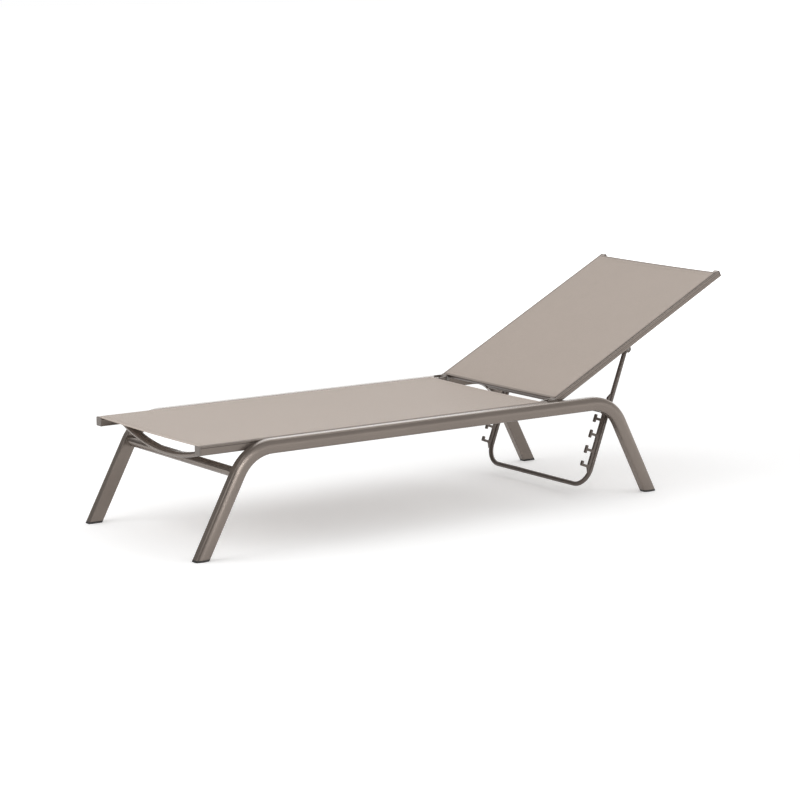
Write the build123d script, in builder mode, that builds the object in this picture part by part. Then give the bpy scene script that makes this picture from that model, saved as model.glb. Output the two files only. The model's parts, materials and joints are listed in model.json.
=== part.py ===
from build123d import *

import math
import os

os.makedirs("parts", exist_ok=True)

# Sun lounger with a tilting back. Millimetres. +X runs from the foot end to the head end, +Z is up,
# and the origin is on the floor under the middle of the whole lounger with its back raised.
# The lounger is the same on both sides, so each side piece is drawn on the +Y side and mirrored.

# Shared allowances
cut_overrun = 40.0
fit_clearance = 0.3
running_clearance = 0.05
cloth_clearance = 0.3
moving_gap = 0.5

# Leg frames, bent from one aluminium profile: flat inside, crowned outside
frame_width = 648.0
frame_top_height = 325.0
leg_lean = 28.0
head_corner_reach = 239.3
leg_bend_radius = 128.0
leg_width = 29.0
leg_depth = 41.5
leg_crown = 4.5
leg_wall = 2.0
leg_outer_corner = 7.5
leg_inner_corner = 2.5

# Foot glides
glide_thickness = 6.5
glide_edge_round = 1.2
glide_plug_length = 32.0

# Foot cross tube
cross_tube_diameter = 30.0
cross_tube_wall = 2.0
cross_tube_height = 238.0

# Seat rails
seat_rail_setback = 9.52
seat_rail_length = 1248.0
seat_rail_width = 28.0
seat_rail_depth = 27.0
rail_wall = 2.0
rail_corner = 2.5
rail_cap_thickness = 3.0
rail_plug_length = 14.0
cap_edge_round = 1.0

# Channel along each rail that holds the sling's edge
channel_diameter = 7.0
channel_wall = 1.6
channel_slot = 2.6
rod_diameter = 4.4
fabric_thickness = 0.8

# Bowed spreaders under the slings
spreader_width = 30.0
spreader_depth = 15.0
spreader_wall = 1.8
seat_spreader_bow = 55.0
seat_spreader_drop = 14.0
back_spreader_bow = 38.0
back_spreader_drop = 1.5
seat_spreader_shares = (0.061, 0.5, 0.9)
back_spreader_gap = 63.3

# Seat sling
seat_hem_setback = 16.0

# Screws that hold the seat rails to the leg frames
screw_diameter = 6.0
screw_head_diameter = 12.0
screw_head_height = 3.0
screw_reach = 10.0
nut_diameter = 9.0
nut_length = 7.0
frame_screw_shares = (0.2, 0.4, 0.6, 0.8)

# Hinge between seat and back
hinge_reach = 31.5
hinge_drop = 5.0
hinge_pin_diameter = 8.0
hinge_pin_head_diameter = 15.0
hinge_pin_head_height = 3.5
hinge_bush_diameter = 11.0
hinge_cheek_thickness = 5.0
hinge_cheek_width = 18.0
hinge_cheek_lap = 34.0
thin_plate = 2.0
rivet_diameter = 5.0
rivet_head_diameter = 9.0
rivet_head_height = 1.6
rivet_spacing = 14.0

# Back
back_angle = 27.5
back_length = 760.0
back_rail_width = 25.0
back_rail_depth = 20.0
back_groove_width = 6.0
back_groove_depth = 0.8
hinge_end_cover = 8.0
hinge_end_plug = 26.0
back_bar_diameter = 18.0
back_bar_wall = 1.8
bottom_bar_setback = 20.0
top_bar_setback = 22.0
back_hem_setback = 13.0

# Stay, a U-shaped tube with a rack of teeth on each arm
stay_pivot_station = 339.5
stay_pivot_depth = 25.7
stay_lean = 20.2
stay_arm_length = 451.7
stay_arm_inset = 13.5
stay_tube_diameter = 15.0
stay_tube_wall = 1.8
stay_bend_radius = 60.0
stay_eye_diameter = 19.0
stay_eye_width = 16.4
stay_pin_diameter = 8.0
stay_pin_head_diameter = 14.0
stay_pin_head_height = 3.5
stay_bush_diameter = 11.0
lug_thickness = 3.5
lug_width = 22.0
lug_flange_width = 30.0
lug_flange_depth = 12.0
washer_thickness = 1.2

# Rack teeth, measured along the arm from the pivot and out from the arm's centre line
rack_thickness = 8.0
rack_reach = 16.0
rack_start = 150.0
rack_start_slant = 14.0
tooth_pitch = 50.5
first_tooth = 187.3
tooth_count = 5
tooth_stem = 8.0
tooth_head_reach = 45.0
tooth_head_thickness = 7.0
tooth_head_length = 26.0
tooth_root_round = 3.0
rack_foot_fairing = 16.0

# Catch bar that the teeth hook over
catch_bar_diameter = 12.0
catch_mouth_gap = 2.7
catch_plate_width = 18.0

# Heights, widths and stations that follow from the sizes above
inner_face = frame_width / 2 - leg_width
lean = math.radians(leg_lean)
tilt = math.radians(back_angle)
leg_centre_height = frame_top_height - leg_depth / 2
corner_reach = leg_centre_height * math.tan(lean)
toe_length = leg_depth / 2 / math.cos(lean)
hinge_height = frame_top_height - hinge_drop
hinge_from_sole = seat_rail_setback + seat_rail_length + hinge_reach
back_reach = back_length * math.cos(tilt) + back_rail_depth / 2 * math.sin(tilt)
overall_length = toe_length + hinge_from_sole + back_reach
foot_sole_x = toe_length - overall_length / 2
seat_start_x = foot_sole_x + seat_rail_setback
seat_end_x = seat_start_x + seat_rail_length
head_corner_x = seat_end_x + head_corner_reach
head_sole_x = head_corner_x + corner_reach
hinge_x = foot_sole_x + hinge_from_sole
seat_rail_inside = inner_face - seat_rail_width
seat_rail_centre_height = frame_top_height - seat_rail_depth / 2
channel_radius = channel_diameter / 2
channel_boss = channel_radius + channel_wall
channel_inset = channel_radius + rail_wall
seat_channel_y = inner_face - channel_inset
thin_plate_face = inner_face - thin_plate
back_outer = thin_plate_face - moving_gap
back_inner = back_outer - back_rail_width
back_channel_y = back_outer - channel_inset
back_top = back_rail_depth / 2
stay_arm_half_span = back_inner - stay_arm_inset

# Directions of the back and of the stay's arms with the back raised
back_along = Vector(math.cos(tilt), 0, math.sin(tilt))
back_up = Vector(-math.sin(tilt), 0, math.cos(tilt))
hinge_point = Vector(hinge_x, 0, hinge_height)
stay_angle = math.radians(stay_lean)
stay_up = Vector(math.sin(stay_angle), 0, math.cos(stay_angle))
stay_toward_foot = Vector(-math.cos(stay_angle), 0, math.sin(stay_angle))
stay_pivot = hinge_point + back_along * stay_pivot_station - back_up * stay_pivot_depth

# The catch bar lies just outside the mouth between the first two teeth
catch_along = first_tooth + tooth_pitch / 2
catch_out = tooth_head_reach + catch_bar_diameter / 2 + catch_mouth_gap
catch_point = stay_pivot - stay_up * catch_along + stay_toward_foot * catch_out

outward = (0, 1, 0)


def finish(piece, name):
    """Label a finished piece and write it to its own file."""
    piece.label = name
    export_step(piece, f"parts/{name}.step")
    print(name, round(piece.volume))


def finish_pair(piece, name):
    """Write the +Y piece as the right one and its mirror image as the left one."""
    finish(piece, f"{name}_right")
    with BuildPart() as other_side:
        mirror(piece, about=Plane.XZ)
    finish(other_side.part, f"{name}_left")


def with_mirror(piece):
    """Both sides of a pair of small fasteners as one group."""
    with BuildPart() as group:
        add(piece)
        mirror(piece, about=Plane.XZ)
    return group.part


def side_plane(y):
    """Plane seen from the side: its x is the lounger's X and its y is Z, at the given Y."""
    return Plane(origin=(0, y, 0), x_dir=(1, 0, 0), z_dir=(0, -1, 0))


def back_side_plane(y):
    """Side plane that is laid along the back, with its zero on the hinge axis."""
    return Plane(origin=hinge_point + Vector(0, y, 0), x_dir=back_along, z_dir=(0, -1, 0))


def back_cross_plane(station):
    """Plane across the back at a distance from the hinge axis: its x is Y and its y is the back's up."""
    return Plane(origin=hinge_point + back_along * station, x_dir=(0, 1, 0), z_dir=back_along)


def seat_cross_plane(x):
    """Plane across the seat with its zero height at the rails' top."""
    return Plane(origin=(x, 0, frame_top_height), x_dir=(0, 1, 0), z_dir=(1, 0, 0))


def rack_plane(y):
    """Plane of a rack: its x points out from the arm and its y up along the arm, from the pivot."""
    return Plane(origin=stay_pivot + Vector(0, y, 0), x_dir=stay_toward_foot, z_dir=outward)


def rods_across(places, diameter, start, end):
    """Round rods along Y from one Y value to another, at places given in X and Z."""
    with BuildPart() as rods:
        with BuildSketch(side_plane(start)):
            with Locations(*places):
                Circle(diameter / 2)
        extrude(amount=end - start, dir=outward)
    return rods.part


def rivets(places, plate_face, tail):
    """Rivets whose heads sit on a plate's inner face and whose shanks reach outward to a Y value."""
    with BuildPart() as group:
        add(rods_across(places, rivet_diameter, plate_face, tail))
        add(rods_across(places, rivet_head_diameter, plate_face - rivet_head_height, plate_face))
    return group.part


def headed_pin(place, diameter, head_diameter, head_height, start, end):
    """Pin along Y with a rounded head at its inner end."""
    with BuildPart() as pin:
        add(rods_across([place], head_diameter, start - head_height, start))
        fillet(pin.faces().sort_by(Axis.Y)[0].edges(), head_height / 2)
        add(rods_across([place], diameter, start, end))
    return pin.part


def ring_across(place, outside, inside, start, end):
    """Ring with its axis along Y."""
    with BuildPart() as ring:
        with BuildSketch(side_plane(start)):
            with Locations(place):
                Circle(outside / 2)
                Circle(inside / 2, mode=Mode.SUBTRACT)
        extrude(amount=end - start, dir=outward)
    return ring.part


# Leg frame: the profile is swept along a leg, a bend, the rail, a bend and a leg
def leg_profile(inset, hollow):
    """Leg profile with its flat inner face on the Y axis, drawn in by an inset, solid or hollow."""
    half_depth = leg_depth / 2
    shoulder = leg_width - leg_crown
    with BuildSketch() as profile:
        with BuildLine():
            Polyline((shoulder, -half_depth), (0, -half_depth), (0, half_depth), (shoulder, half_depth))
            ThreePointArc((shoulder, half_depth), (leg_width, 0), (shoulder, -half_depth))
        make_face()
        fillet(profile.vertices().sort_by(Axis.X)[:2], leg_inner_corner)
        fillet(profile.vertices().sort_by(Axis.X)[-2:], leg_outer_corner)
        if inset:
            offset(amount=-inset, mode=Mode.REPLACE)
        if hollow:
            offset(amount=-leg_wall, mode=Mode.SUBTRACT)
    return profile.sketch


below_floor = cut_overrun * math.tan(lean)
screw_height = seat_rail_centre_height - rail_wall
screw_places = [
    (seat_start_x + seat_rail_length * share, screw_height)
    for share in frame_screw_shares
]

# The catch bar's plates are riveted to the head bends, on the profile's centre line
bend_centre_x = head_corner_x - leg_bend_radius * math.tan((math.pi / 2 - lean) / 2)
bend_centre_z = leg_centre_height - leg_bend_radius
bend_angle = math.atan2(catch_point.Z - bend_centre_z, catch_point.X - bend_centre_x)
catch_foot = Vector(
    bend_centre_x + leg_bend_radius * math.cos(bend_angle),
    bend_centre_z + leg_bend_radius * math.sin(bend_angle),
)
catch_rivet_step = Vector(math.sin(bend_angle), -math.cos(bend_angle)) * (rivet_spacing / 2)
catch_rivet_places = [catch_foot - catch_rivet_step, catch_foot + catch_rivet_step]

with BuildPart() as leg_frame:
    with BuildLine(side_plane(inner_face)) as leg_route:
        FilletPolyline(
            (foot_sole_x - below_floor, -cut_overrun),
            (foot_sole_x + corner_reach, leg_centre_height),
            (head_corner_x, leg_centre_height),
            (head_sole_x + below_floor, -cut_overrun),
            radius=leg_bend_radius,
        )
    with BuildSketch(Plane(origin=leg_route.line @ 0, x_dir=outward, z_dir=leg_route.line % 0)):
        add(leg_profile(inset=0, hollow=True))
    sweep()
    split(bisect_by=Plane.XY.offset(glide_thickness), keep=Keep.TOP)
    with BuildSketch(side_plane(inner_face)):
        with Locations(*screw_places):
            Circle(nut_diameter / 2 + running_clearance)
        with Locations(*catch_rivet_places):
            Circle(rivet_diameter / 2 + running_clearance)
    extrude(amount=leg_wall * 2, dir=outward, mode=Mode.SUBTRACT)
finish_pair(leg_frame.part, "leg_frame")


# Foot glides: a dark sole under each leg end with a plug up inside the leg
def foot_glide(sole_x, lean_sign):
    """Glide of one leg on the +Y side."""
    leg_axis = (lean_sign * math.sin(lean), 0, math.cos(lean))
    section_plane = Plane(origin=(sole_x, inner_face, 0), x_dir=outward, z_dir=leg_axis)
    with BuildPart() as plug:
        with BuildSketch(section_plane):
            add(leg_profile(inset=leg_wall + fit_clearance, hollow=False))
        extrude(amount=glide_plug_length)
        split(bisect_by=Plane.XY.offset(glide_thickness), keep=Keep.TOP)
    with BuildPart() as glide:
        with BuildSketch(section_plane):
            add(leg_profile(inset=0, hollow=False))
        extrude(amount=cut_overrun, both=True)
        split(bisect_by=Plane.XY, keep=Keep.TOP)
        split(bisect_by=Plane.XY.offset(glide_thickness), keep=Keep.BOTTOM)
        fillet(glide.faces().sort_by(Axis.Z)[0].edges(), glide_edge_round)
        add(plug.part)
    return glide.part


finish_pair(foot_glide(foot_sole_x, 1), "foot_leg_glide")
finish_pair(foot_glide(head_sole_x, -1), "head_leg_glide")

# Cross tube between the foot legs
with BuildPart() as foot_cross_tube:
    cross_tube_x = foot_sole_x + cross_tube_height * math.tan(lean)
    with BuildSketch(side_plane(-inner_face)):
        with Locations((cross_tube_x, cross_tube_height)):
            Circle(cross_tube_diameter / 2)
            Circle(cross_tube_diameter / 2 - cross_tube_wall, mode=Mode.SUBTRACT)
    extrude(amount=inner_face * 2, dir=outward)
finish(foot_cross_tube.part, "foot_cross_tube")

# Catch bar, held by a thin plate on the inner side of each head bend
catch_place = (catch_point.X, catch_point.Z)
catch_lap = Vector(catch_foot.X - catch_point.X, catch_foot.Y - catch_point.Z)
catch_plate_middle = (catch_point.X + catch_lap.X / 2, catch_point.Z + catch_lap.Y / 2)
finish(
    rods_across([catch_place], catch_bar_diameter, -thin_plate_face, thin_plate_face),
    "catch_bar",
)

with BuildPart() as catch_plate:
    with BuildSketch(side_plane(thin_plate_face)):
        with Locations(catch_plate_middle):
            SlotCenterToCenter(catch_lap.length, catch_plate_width, rotation=math.degrees(bend_angle))
        with Locations(*catch_rivet_places):
            Circle(rivet_diameter / 2 + running_clearance, mode=Mode.SUBTRACT)
    extrude(amount=thin_plate, dir=outward)
finish_pair(catch_plate.part, "catch_bar_plate")

catch_rivets = rivets(catch_rivet_places, thin_plate_face, inner_face + leg_wall * 2)
finish(with_mirror(catch_rivets), "catch_bar_rivets")


# Rails: a hollow box with a round channel near its outer top corner, open by a slot at the top
def rail_profile(width, depth, middle_y, middle_height, groove):
    """Rail profile of the +Y side in a cross plane; the groove runs along its outer side."""
    channel_y = middle_y + width / 2 - channel_inset
    channel_height = middle_height + depth / 2 - channel_inset
    with BuildSketch() as profile:
        with Locations((middle_y, middle_height)):
            RectangleRounded(width, depth, rail_corner)
        offset(amount=-rail_wall, mode=Mode.SUBTRACT)
        with Locations((channel_y, channel_height)):
            Circle(channel_boss)
            Circle(channel_radius, mode=Mode.SUBTRACT)
            Rectangle(channel_slot, depth, align=(Align.CENTER, Align.MIN), mode=Mode.SUBTRACT)
        if groove:
            with Locations((middle_y + width / 2, middle_height)):
                Rectangle(back_groove_depth * 2, back_groove_width, mode=Mode.SUBTRACT)
    return profile.sketch


def rail_plug_profile(width, depth, middle_y, middle_height):
    """Profile of a plug that fills the rail's hollow beside the channel."""
    plug_start = middle_y - width / 2 + rail_wall + fit_clearance
    plug_end = middle_y + width / 2 - channel_inset - channel_boss - fit_clearance
    plug_depth = depth - (rail_wall + fit_clearance) * 2
    with BuildSketch() as profile:
        with Locations(((plug_start + plug_end) / 2, middle_height)):
            Rectangle(plug_end - plug_start, plug_depth)
    return profile.sketch


seat_rail_middle = inner_face - seat_rail_width / 2
seat_rail_sizes = (seat_rail_width, seat_rail_depth, seat_rail_middle, -seat_rail_depth / 2)
back_rail_middle = back_outer - back_rail_width / 2
back_rail_sizes = (back_rail_width, back_rail_depth, back_rail_middle, 0)

# Seat rails, bolted side by side with the leg frames
cheek_start = (seat_end_x - hinge_cheek_lap + hinge_cheek_width / 2, seat_rail_centre_height)
hinge_rivet_places = [cheek_start, (cheek_start[0] + rivet_spacing, cheek_start[1])]
seat_rail_open_x = seat_start_x + rail_cap_thickness

with BuildPart() as seat_rail:
    with BuildSketch(seat_cross_plane(seat_rail_open_x)):
        add(rail_profile(*seat_rail_sizes, groove=False))
    extrude(amount=seat_end_x - seat_rail_open_x)
    with BuildSketch(side_plane(seat_rail_inside)):
        with Locations(*screw_places):
            Circle(screw_diameter / 2 + running_clearance)
    extrude(amount=seat_rail_width, dir=outward, mode=Mode.SUBTRACT)
    with BuildSketch(side_plane(seat_rail_inside)):
        with Locations(*hinge_rivet_places):
            Circle(rivet_diameter / 2 + running_clearance)
    extrude(amount=rail_wall * 2, dir=outward, mode=Mode.SUBTRACT)
finish_pair(seat_rail.part, "seat_rail")

with BuildPart() as seat_rail_cap:
    with BuildSketch(seat_cross_plane(seat_start_x)):
        with Locations((seat_rail_middle, -seat_rail_depth / 2)):
            RectangleRounded(seat_rail_width, seat_rail_depth, rail_corner)
    extrude(amount=rail_cap_thickness)
    fillet(seat_rail_cap.faces().sort_by(Axis.X)[0].edges(), cap_edge_round)
    with BuildSketch(seat_cross_plane(seat_rail_open_x)):
        add(rail_plug_profile(*seat_rail_sizes))
    extrude(amount=rail_plug_length)
finish_pair(seat_rail_cap.part, "seat_rail_cap")

# Screws through the seat rails into rivet nuts in the leg frames
with BuildPart() as rail_screws:
    add(rods_across(screw_places, screw_diameter, seat_rail_inside, inner_face + screw_reach))
    head_face = seat_rail_inside - screw_head_height
    add(rods_across(screw_places, screw_head_diameter, head_face, seat_rail_inside))
finish_pair(rail_screws.part, "rail_screws")

with BuildPart() as rivet_nuts:
    with BuildSketch(side_plane(inner_face)):
        with Locations(*screw_places):
            Circle(nut_diameter / 2)
            Circle(screw_diameter / 2 + running_clearance, mode=Mode.SUBTRACT)
    extrude(amount=nut_length, dir=outward)
finish_pair(rivet_nuts.part, "rivet_nuts")


# Bowed spreaders: a flat oval tube along an arc between the inner faces of two rails
def bowed_spreader(cross_plane, along, half_span, end_height, bow):
    """Spreader that hangs down by its bow in the middle, cut flat at both rails."""
    bow_radius = (half_span**2 + bow**2) / (2 * bow)
    half_turn = math.degrees(math.asin(half_span / bow_radius) + spreader_depth / bow_radius)
    with BuildPart() as spreader:
        with BuildLine(cross_plane) as route:
            CenterArc((0, end_height - bow + bow_radius), bow_radius, -90 - half_turn, half_turn * 2)
        with BuildSketch(Plane(origin=route.line @ 0, x_dir=along, z_dir=route.line % 0)):
            SlotOverall(spreader_width, spreader_depth)
            offset(amount=-spreader_wall, mode=Mode.SUBTRACT)
        sweep()
        split(bisect_by=Plane.XZ.offset(-half_span), keep=Keep.TOP)
        split(bisect_by=Plane.XZ.offset(half_span), keep=Keep.BOTTOM)
    return spreader.part


for name, share in zip(("foot", "middle", "head"), seat_spreader_shares):
    spreader_x = seat_start_x + seat_rail_length * share
    finish(
        bowed_spreader(
            seat_cross_plane(spreader_x),
            (1, 0, 0),
            seat_rail_inside,
            -seat_spreader_drop,
            seat_spreader_bow,
        ),
        f"seat_spreader_{name}",
    )


# Slings: a sheet over the rails' tops whose edges turn down the slots and close round a rod
def sling_solid(cross_plane, length, channel_y, rail_top):
    """Sling between two channels, with its edge loops."""
    channel_height = rail_top - channel_inset
    sheet_low = rail_top + cloth_clearance
    sheet_high = sheet_low + fabric_thickness
    loop_outside = channel_radius - cloth_clearance
    loop_inside = loop_outside - fabric_thickness
    hem_thickness = fabric_thickness * 2
    with BuildPart() as sling:
        with BuildSketch(cross_plane):
            with Locations((0, sheet_low)):
                Rectangle(channel_y * 2 + hem_thickness, fabric_thickness, align=(Align.CENTER, Align.MIN))
            with Locations((-channel_y, channel_height), (channel_y, channel_height)):
                Rectangle(hem_thickness, sheet_high - channel_height, align=(Align.CENTER, Align.MIN))
                Circle(loop_outside)
                Circle(loop_inside, mode=Mode.SUBTRACT)
        extrude(amount=length)
    return sling.part


def sling_rod(cross_plane, length, channel_y, rail_top):
    """Round rod inside a sling's edge loop on the +Y side."""
    with BuildPart() as rod:
        with BuildSketch(cross_plane):
            with Locations((channel_y, rail_top - channel_inset)):
                Circle(rod_diameter / 2)
        extrude(amount=length)
    return rod.part


seat_sling_plane = seat_cross_plane(seat_rail_open_x)
seat_sling_length = seat_end_x - seat_hem_setback - seat_rail_open_x
finish(sling_solid(seat_sling_plane, seat_sling_length, seat_channel_y, 0), "seat_sling")
finish_pair(sling_rod(seat_sling_plane, seat_sling_length, seat_channel_y, 0), "seat_sling_rod")

# Hinge bracket: a web over the seat rail's head end and a cheek on each side of the back rail
inner_cheek_face = seat_rail_inside - hinge_cheek_thickness
cheek_run = Vector(hinge_x - cheek_start[0], hinge_height - cheek_start[1])
cheek_middle = (cheek_start[0] + cheek_run.X / 2, cheek_start[1] + cheek_run.Y / 2)
cheek_turn = math.degrees(math.atan2(cheek_run.Y, cheek_run.X))
hinge_place = (hinge_x, hinge_height)

with BuildPart() as hinge_bracket:
    with BuildSketch(side_plane(inner_cheek_face)):
        with Locations(cheek_middle):
            SlotCenterToCenter(cheek_run.length, hinge_cheek_width, rotation=cheek_turn)
    extrude(amount=hinge_cheek_thickness, dir=outward)
    with BuildSketch(side_plane(inner_cheek_face)):
        with Locations((seat_end_x, seat_rail_centre_height)):
            Rectangle(rail_cap_thickness, seat_rail_depth, align=(Align.MIN, Align.CENTER))
    extrude(amount=inner_face - inner_cheek_face, dir=outward)
    with BuildSketch(side_plane(thin_plate_face)):
        with Locations((seat_end_x, hinge_height)):
            Rectangle(hinge_reach, hinge_cheek_width, align=(Align.MIN, Align.CENTER))
        with Locations(hinge_place):
            Circle(hinge_cheek_width / 2)
    extrude(amount=thin_plate, dir=outward)
    with BuildSketch(side_plane(inner_cheek_face)):
        with Locations(hinge_place):
            Circle(hinge_pin_diameter / 2 + running_clearance)
    extrude(amount=inner_face - inner_cheek_face, dir=outward, mode=Mode.SUBTRACT)
    with BuildSketch(side_plane(inner_cheek_face)):
        with Locations(*hinge_rivet_places):
            Circle(rivet_diameter / 2 + running_clearance)
    extrude(amount=hinge_cheek_thickness, dir=outward, mode=Mode.SUBTRACT)
finish_pair(hinge_bracket.part, "hinge_bracket")

hinge_rivets = rivets(hinge_rivet_places, inner_cheek_face, seat_rail_inside + rail_wall * 2)
finish(with_mirror(hinge_rivets), "hinge_rivets")

hinge_pin = headed_pin(
    hinge_place,
    hinge_pin_diameter,
    hinge_pin_head_diameter,
    hinge_pin_head_height,
    inner_cheek_face,
    inner_face,
)
finish_pair(hinge_pin, "hinge_pin")

# Back rails with an end piece that turns on the hinge pin, and a cap at the top
hinge_bore = hinge_bush_diameter + running_clearance * 2
with BuildPart() as back_hinge_end:
    with BuildSketch(back_side_plane(back_inner)):
        Circle(back_top)
        Rectangle(hinge_end_cover, back_rail_depth, align=(Align.MIN, Align.CENTER))
        Circle(hinge_bore / 2, mode=Mode.SUBTRACT)
    extrude(amount=back_rail_width, dir=outward)
    split(bisect_by=back_cross_plane(hinge_end_cover), keep=Keep.BOTTOM)
    with BuildSketch(back_cross_plane(hinge_end_cover)):
        add(rail_plug_profile(*back_rail_sizes))
    extrude(amount=hinge_end_plug)
finish_pair(back_hinge_end.part, "back_hinge_end")

hinge_bush = ring_across(
    hinge_place,
    hinge_bush_diameter,
    hinge_pin_diameter + running_clearance * 2,
    back_inner,
    back_outer,
)
finish(with_mirror(hinge_bush), "hinge_bushes")

lug_rivet_places = [
    (stay_pivot_station - rivet_spacing / 2, 0),
    (stay_pivot_station + rivet_spacing / 2, 0),
]
back_rail_run = back_length - rail_cap_thickness - hinge_end_cover
with BuildPart() as back_rail:
    with BuildSketch(back_cross_plane(hinge_end_cover)):
        add(rail_profile(*back_rail_sizes, groove=True))
    extrude(amount=back_rail_run)
    with BuildSketch(back_side_plane(back_inner)):
        with Locations(*lug_rivet_places):
            Circle(rivet_diameter / 2 + running_clearance)
    extrude(amount=rail_wall * 2, dir=outward, mode=Mode.SUBTRACT)
finish_pair(back_rail.part, "back_rail")

with BuildPart() as back_rail_cap:
    cap_plane = back_cross_plane(back_length - rail_cap_thickness)
    with BuildSketch(cap_plane):
        with Locations((back_rail_middle, 0)):
            RectangleRounded(back_rail_width, back_rail_depth, rail_corner)
    extrude(amount=rail_cap_thickness)
    fillet(back_rail_cap.faces().sort_by(Axis(hinge_point, back_along))[-1].edges(), cap_edge_round)
    with BuildSketch(cap_plane):
        add(rail_plug_profile(*back_rail_sizes))
    extrude(amount=-rail_plug_length)
finish_pair(back_rail_cap.part, "back_rail_cap")


# Straight bars between the back rails, under the sling's two hems
def back_bar(station):
    with BuildPart() as bar:
        with BuildSketch(back_side_plane(-back_inner)):
            with Locations((station, 0)):
                Circle(back_bar_diameter / 2)
                Circle(back_bar_diameter / 2 - back_bar_wall, mode=Mode.SUBTRACT)
        extrude(amount=back_inner * 2, dir=outward)
    return bar.part


finish(back_bar(bottom_bar_setback), "back_bottom_bar")
finish(back_bar(back_length - top_bar_setback), "back_top_bar")
finish(
    bowed_spreader(
        back_cross_plane(stay_pivot_station + back_spreader_gap),
        back_along,
        back_inner,
        -back_spreader_drop,
        back_spreader_bow,
    ),
    "back_spreader",
)

back_sling_plane = back_cross_plane(hinge_end_cover)
back_sling_length = back_length - back_hem_setback - hinge_end_cover
finish(sling_solid(back_sling_plane, back_sling_length, back_channel_y, back_top), "back_sling")
finish_pair(sling_rod(back_sling_plane, back_sling_length, back_channel_y, back_top), "back_sling_rod")

# Lugs riveted under the back rails carry the stay on two pins
lug_face = back_inner - lug_thickness
with BuildPart() as stay_lug:
    with BuildSketch(back_side_plane(lug_face)):
        with Locations((stay_pivot_station, -stay_pivot_depth)):
            Circle(lug_width / 2)
        with Locations((stay_pivot_station, -stay_pivot_depth / 2)):
            Rectangle(lug_width, stay_pivot_depth)
        with Locations((stay_pivot_station, 0)):
            Rectangle(lug_flange_width, lug_flange_depth)
        with Locations((stay_pivot_station, -stay_pivot_depth)):
            Circle(stay_pin_diameter / 2 + running_clearance, mode=Mode.SUBTRACT)
        with Locations(*lug_rivet_places):
            Circle(rivet_diameter / 2 + running_clearance, mode=Mode.SUBTRACT)
    extrude(amount=lug_thickness, dir=outward)
finish_pair(stay_lug.part, "stay_lug")

lug_rivet_points = [
    (point.X, point.Z)
    for point in (hinge_point + back_along * place[0] for place in lug_rivet_places)
]
lug_rivets = rivets(lug_rivet_points, lug_face, back_inner + rail_wall * 2)
finish(with_mirror(lug_rivets), "lug_rivets")

stay_place = (stay_pivot.X, stay_pivot.Z)
eye_inner = stay_arm_half_span - stay_eye_width / 2
eye_outer = stay_arm_half_span + stay_eye_width / 2
stay_pin = headed_pin(
    stay_place,
    stay_pin_diameter,
    stay_pin_head_diameter,
    stay_pin_head_height,
    eye_inner - moving_gap,
    back_inner,
)
finish_pair(stay_pin, "stay_pin")

washer_gap = (lug_face - eye_outer - washer_thickness) / 2
stay_washer = ring_across(
    stay_place,
    stay_eye_diameter,
    stay_pin_diameter + running_clearance * 2,
    eye_outer + washer_gap,
    lug_face - washer_gap,
)
finish(with_mirror(stay_washer), "stay_washers")

# Stay: one tube bent to a U, with an eye at each end
stay_bore = stay_bush_diameter + running_clearance * 2
stay_plane = Plane(origin=stay_pivot, x_dir=outward, z_dir=stay_toward_foot * -1)
with BuildPart() as stay_tube:
    with BuildLine(stay_plane) as stay_route:
        FilletPolyline(
            (-stay_arm_half_span, 0),
            (-stay_arm_half_span, -stay_arm_length),
            (stay_arm_half_span, -stay_arm_length),
            (stay_arm_half_span, 0),
            radius=stay_bend_radius,
        )
    with BuildSketch(Plane(origin=stay_route.line @ 0, x_dir=outward, z_dir=stay_route.line % 0)):
        Circle(stay_tube_diameter / 2)
        Circle(stay_tube_diameter / 2 - stay_tube_wall, mode=Mode.SUBTRACT)
    sweep()
    for side_start in (-eye_outer, eye_inner):
        side_end = side_start + stay_eye_width
        add(rods_across([stay_place], stay_eye_diameter, side_start, side_end))
        add(rods_across([stay_place], stay_bore, side_start, side_end), mode=Mode.SUBTRACT)
finish(stay_tube.part, "stay_tube")

stay_bush = ring_across(
    stay_place,
    stay_bush_diameter,
    stay_pin_diameter + running_clearance * 2,
    eye_inner,
    eye_outer,
)
finish(with_mirror(stay_bush), "stay_bushes")

# Rack: a toothed plate along the foot side of each arm
rack_edge = stay_tube_diameter / 2
last_tooth = first_tooth + tooth_pitch * (tooth_count - 1)
rack_end = last_tooth + tooth_stem / 2
stem_length = tooth_head_reach - tooth_head_thickness / 2 - rack_reach
stem_middle = rack_reach + stem_length / 2
head_middle = tooth_head_reach - tooth_head_thickness / 2
hook_length = (tooth_head_length + tooth_stem) / 2
hook_middle = last_tooth + tooth_stem / 2 - hook_length / 2
tooth_places = [first_tooth + tooth_pitch * index for index in range(tooth_count)]

with BuildPart() as rack:
    with BuildSketch(rack_plane(stay_arm_half_span - rack_thickness / 2)) as rack_outline:
        with BuildLine():
            Polyline(
                (rack_edge, -rack_start),
                (rack_reach, -rack_start - rack_start_slant),
                (rack_reach, -rack_end),
                (rack_edge, -rack_end - rack_foot_fairing),
                close=True,
            )
        make_face()
        with Locations(*[(stem_middle, -place) for place in tooth_places]):
            Rectangle(stem_length, tooth_stem)
        fillet(
            rack_outline.vertices().filter_by_position(
                Axis.X, rack_reach - fit_clearance, rack_reach + fit_clearance
            ),
            tooth_root_round,
        )
        with Locations(*[(head_middle, -place) for place in tooth_places[:-1]]):
            SlotOverall(tooth_head_length, tooth_head_thickness, rotation=90)
        with Locations((head_middle, -hook_middle)):
            SlotOverall(hook_length, tooth_head_thickness, rotation=90)
    extrude(amount=rack_thickness, dir=outward)
finish_pair(rack.part, "stay_rack")
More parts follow.
